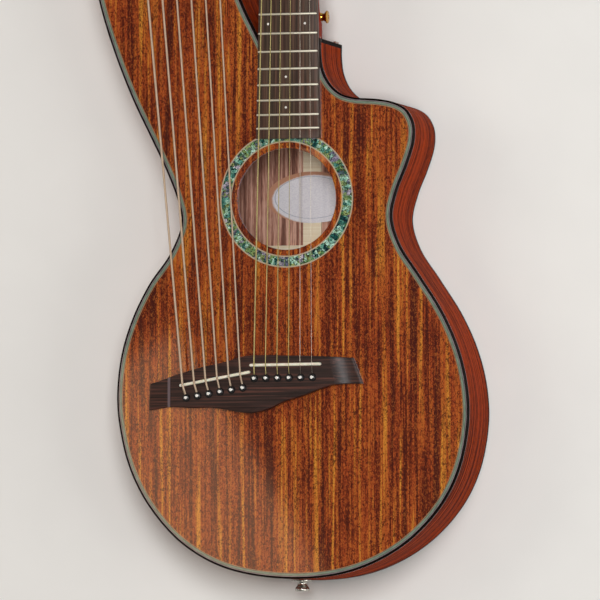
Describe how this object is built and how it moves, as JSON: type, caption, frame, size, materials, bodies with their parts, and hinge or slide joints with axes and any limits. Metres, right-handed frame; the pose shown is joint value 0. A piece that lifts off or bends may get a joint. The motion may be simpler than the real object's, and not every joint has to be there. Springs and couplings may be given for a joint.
{
  "type": "harp guitar",
  "caption": "Hollow-body harp guitar lying on its back: fretted neck, hollow arm with open bass strings, one shared bridge, geared tuners.",
  "frame": {"origin": "on the back's flat outer face, under the point where the scale of the fretted strings begins at the bridge", "axes": "+Z out of the soundboard, +Y along the fretted strings towards the nut, +X towards the treble side with the cutaway"},
  "size_m": [0.4051, 1.139, 0.102],
  "materials": {
    "soundboard": "reddish gold grained tonewood under gloss lacquer",
    "body_wood": "dark red-brown wood under gloss lacquer",
    "mahogany": "red mahogany, satin lacquer",
    "ebony": "near-black wood, oiled, with metal frets",
    "rosewood": "dark brown wood, oiled",
    "spruce": "bare pale wood",
    "bone": "polished cream bone",
    "nickel": "nickel plate",
    "gold": "gold plate",
    "bronze": "wound bronze wire",
    "silk": "wound wire with a pinkish wrap",
    "steel": "plain bright steel"
  },
  "bodies": {
    "instrument": {"back_plate": "body_wood", "treble_side": "body_wood", "bass_side": "body_wood", "arm_inner_side": "body_wood", "soundboard": "soundboard", "neck_block": "mahogany", "tail_block": "mahogany", "top_bracing": "spruce", "back_bracing": "spruce", "truss_rod": "steel", "fingerboard": "ebony", "bridge": "rosewood", "neck_saddle": "bone", "bass_saddle": "bone", "strap_button": "gold", "neck": "mahogany", "bass_headstock": "mahogany", "neck_nut": "bone", "bass_nut": "bone", "end_pin": "nickel", "neck_plate_left": "nickel", "neck_plate_right": "nickel", "neck_string_6": "bronze", "neck_string_5": "bronze", "neck_string_4": "bronze", "neck_string_3": "bronze", "neck_string_2": "steel", "neck_string_1": "steel", "bass_plate_left": "nickel", "bass_plate_right": "nickel", "bass_string_6": "silk", "bass_string_5": "silk", "bass_string_4": "silk", "bass_string_3": "silk", "bass_string_2": "silk", "bass_string_1": "silk"},
    "neck_button_6": {"neck_button_6": "nickel"},
    "neck_post_6": {"neck_post_6": "nickel"},
    "neck_button_5": {"neck_button_5": "nickel"},
    "neck_post_5": {"neck_post_5": "nickel"},
    "neck_button_4": {"neck_button_4": "nickel"},
    "neck_post_4": {"neck_post_4": "nickel"},
    "neck_button_3": {"neck_button_3": "nickel"},
    "neck_post_3": {"neck_post_3": "nickel"},
    "neck_button_2": {"neck_button_2": "nickel"},
    "neck_post_2": {"neck_post_2": "nickel"},
    "neck_button_1": {"neck_button_1": "nickel"},
    "neck_post_1": {"neck_post_1": "nickel"},
    "bass_button_6": {"bass_button_6": "nickel"},
    "bass_post_6": {"bass_post_6": "nickel"},
    "bass_button_5": {"bass_button_5": "nickel"},
    "bass_post_5": {"bass_post_5": "nickel"},
    "bass_button_4": {"bass_button_4": "nickel"},
    "bass_post_4": {"bass_post_4": "nickel"},
    "bass_button_3": {"bass_button_3": "nickel"},
    "bass_post_3": {"bass_post_3": "nickel"},
    "bass_button_2": {"bass_button_2": "nickel"},
    "bass_post_2": {"bass_post_2": "nickel"},
    "bass_button_1": {"bass_button_1": "nickel"},
    "bass_post_1": {"bass_post_1": "nickel"}
  },
  "joints": [
    {"name": "neck_button_6_turn", "type": "hinge", "parent": "instrument", "child": "neck_button_6", "pos_m": [-0.024, 0.68266, 0.06142], "axis": [1, 0, 0], "continuous": true},
    {"name": "neck_post_6_turn", "type": "hinge", "parent": "instrument", "child": "neck_post_6", "pos_m": [-0.024, 0.69492, 0.07855], "axis": [0, 0.225, 0.9744], "continuous": true},
    {"name": "neck_button_5_turn", "type": "hinge", "parent": "instrument", "child": "neck_button_5", "pos_m": [-0.024, 0.71968, 0.05287], "axis": [1, 0, 0], "continuous": true},
    {"name": "neck_post_5_turn", "type": "hinge", "parent": "instrument", "child": "neck_post_5", "pos_m": [-0.024, 0.73195, 0.07], "axis": [0, 0.225, 0.9744], "continuous": true},
    {"name": "neck_button_4_turn", "type": "hinge", "parent": "instrument", "child": "neck_button_4", "pos_m": [-0.024, 0.75671, 0.04433], "axis": [1, 0, 0], "continuous": true},
    {"name": "neck_post_4_turn", "type": "hinge", "parent": "instrument", "child": "neck_post_4", "pos_m": [-0.024, 0.76898, 0.06146], "axis": [0, 0.225, 0.9744], "continuous": true},
    {"name": "neck_button_3_turn", "type": "hinge", "parent": "instrument", "child": "neck_button_3", "pos_m": [0.024, 0.75671, 0.04433], "axis": [1, 0, 0], "continuous": true},
    {"name": "neck_post_3_turn", "type": "hinge", "parent": "instrument", "child": "neck_post_3", "pos_m": [0.024, 0.76898, 0.06146], "axis": [0, 0.225, 0.9744], "continuous": true},
    {"name": "neck_button_2_turn", "type": "hinge", "parent": "instrument", "child": "neck_button_2", "pos_m": [0.024, 0.71968, 0.05287], "axis": [1, 0, 0], "continuous": true},
    {"name": "neck_post_2_turn", "type": "hinge", "parent": "instrument", "child": "neck_post_2", "pos_m": [0.024, 0.73195, 0.07], "axis": [0, 0.225, 0.9744], "continuous": true},
    {"name": "neck_button_1_turn", "type": "hinge", "parent": "instrument", "child": "neck_button_1", "pos_m": [0.024, 0.68266, 0.06142], "axis": [1, 0, 0], "continuous": true},
    {"name": "neck_post_1_turn", "type": "hinge", "parent": "instrument", "child": "neck_post_1", "pos_m": [0.024, 0.69492, 0.07855], "axis": [0, 0.225, 0.9744], "continuous": true},
    {"name": "bass_button_6_turn", "type": "hinge", "parent": "instrument", "child": "bass_button_6", "pos_m": [-0.17968, 0.78131, 0.06204], "axis": [0.9971, 0.0758, 0], "continuous": true},
    {"name": "bass_post_6_turn", "type": "hinge", "parent": "instrument", "child": "bass_post_6", "pos_m": [-0.18051, 0.79229, 0.08216], "axis": [-0.0106, 0.1388, 0.9903], "continuous": true},
    {"name": "bass_button_5_turn", "type": "hinge", "parent": "instrument", "child": "bass_button_5", "pos_m": [-0.18253, 0.81883, 0.05675], "axis": [0.9971, 0.0758, 0], "continuous": true},
    {"name": "bass_post_5_turn", "type": "hinge", "parent": "instrument", "child": "bass_post_5", "pos_m": [-0.18337, 0.82981, 0.07687], "axis": [-0.0106, 0.1388, 0.9903], "continuous": true},
    {"name": "bass_button_4_turn", "type": "hinge", "parent": "instrument", "child": "bass_button_4", "pos_m": [-0.18539, 0.85635, 0.05146], "axis": [0.9971, 0.0758, 0], "continuous": true},
    {"name": "bass_post_4_turn", "type": "hinge", "parent": "instrument", "child": "bass_post_4", "pos_m": [-0.18622, 0.86733, 0.07158], "axis": [-0.0106, 0.1388, 0.9903], "continuous": true},
    {"name": "bass_button_3_turn", "type": "hinge", "parent": "instrument", "child": "bass_button_3", "pos_m": [-0.10163, 0.86273, 0.05146], "axis": [0.9971, 0.0758, 0], "continuous": true},
    {"name": "bass_post_3_turn", "type": "hinge", "parent": "instrument", "child": "bass_post_3", "pos_m": [-0.10246, 0.8737, 0.07158], "axis": [-0.0106, 0.1388, 0.9903], "continuous": true},
    {"name": "bass_button_2_turn", "type": "hinge", "parent": "instrument", "child": "bass_button_2", "pos_m": [-0.09877, 0.8252, 0.05675], "axis": [0.9971, 0.0758, 0], "continuous": true},
    {"name": "bass_post_2_turn", "type": "hinge", "parent": "instrument", "child": "bass_post_2", "pos_m": [-0.09961, 0.83618, 0.07687], "axis": [-0.0106, 0.1388, 0.9903], "continuous": true},
    {"name": "bass_button_1_turn", "type": "hinge", "parent": "instrument", "child": "bass_button_1", "pos_m": [-0.09592, 0.78768, 0.06204], "axis": [0.9971, 0.0758, 0], "continuous": true},
    {"name": "bass_post_1_turn", "type": "hinge", "parent": "instrument", "child": "bass_post_1", "pos_m": [-0.09675, 0.79866, 0.08216], "axis": [-0.0106, 0.1388, 0.9903], "continuous": true}
  ],
  "couplings": [
    {"joint": "neck_post_6_turn", "follows": "neck_button_6_turn", "ratio": -0.083333},
    {"joint": "neck_post_5_turn", "follows": "neck_button_5_turn", "ratio": -0.083333},
    {"joint": "neck_post_4_turn", "follows": "neck_button_4_turn", "ratio": -0.083333},
    {"joint": "neck_post_3_turn", "follows": "neck_button_3_turn", "ratio": -0.083333},
    {"joint": "neck_post_2_turn", "follows": "neck_button_2_turn", "ratio": -0.083333},
    {"joint": "neck_post_1_turn", "follows": "neck_button_1_turn", "ratio": -0.083333},
    {"joint": "bass_post_6_turn", "follows": "bass_button_6_turn", "ratio": -0.083333},
    {"joint": "bass_post_5_turn", "follows": "bass_button_5_turn", "ratio": -0.083333},
    {"joint": "bass_post_4_turn", "follows": "bass_button_4_turn", "ratio": -0.083333},
    {"joint": "bass_post_3_turn", "follows": "bass_button_3_turn", "ratio": -0.083333},
    {"joint": "bass_post_2_turn", "follows": "bass_button_2_turn", "ratio": -0.083333},
    {"joint": "bass_post_1_turn", "follows": "bass_button_1_turn", "ratio": -0.083333}
  ]
}
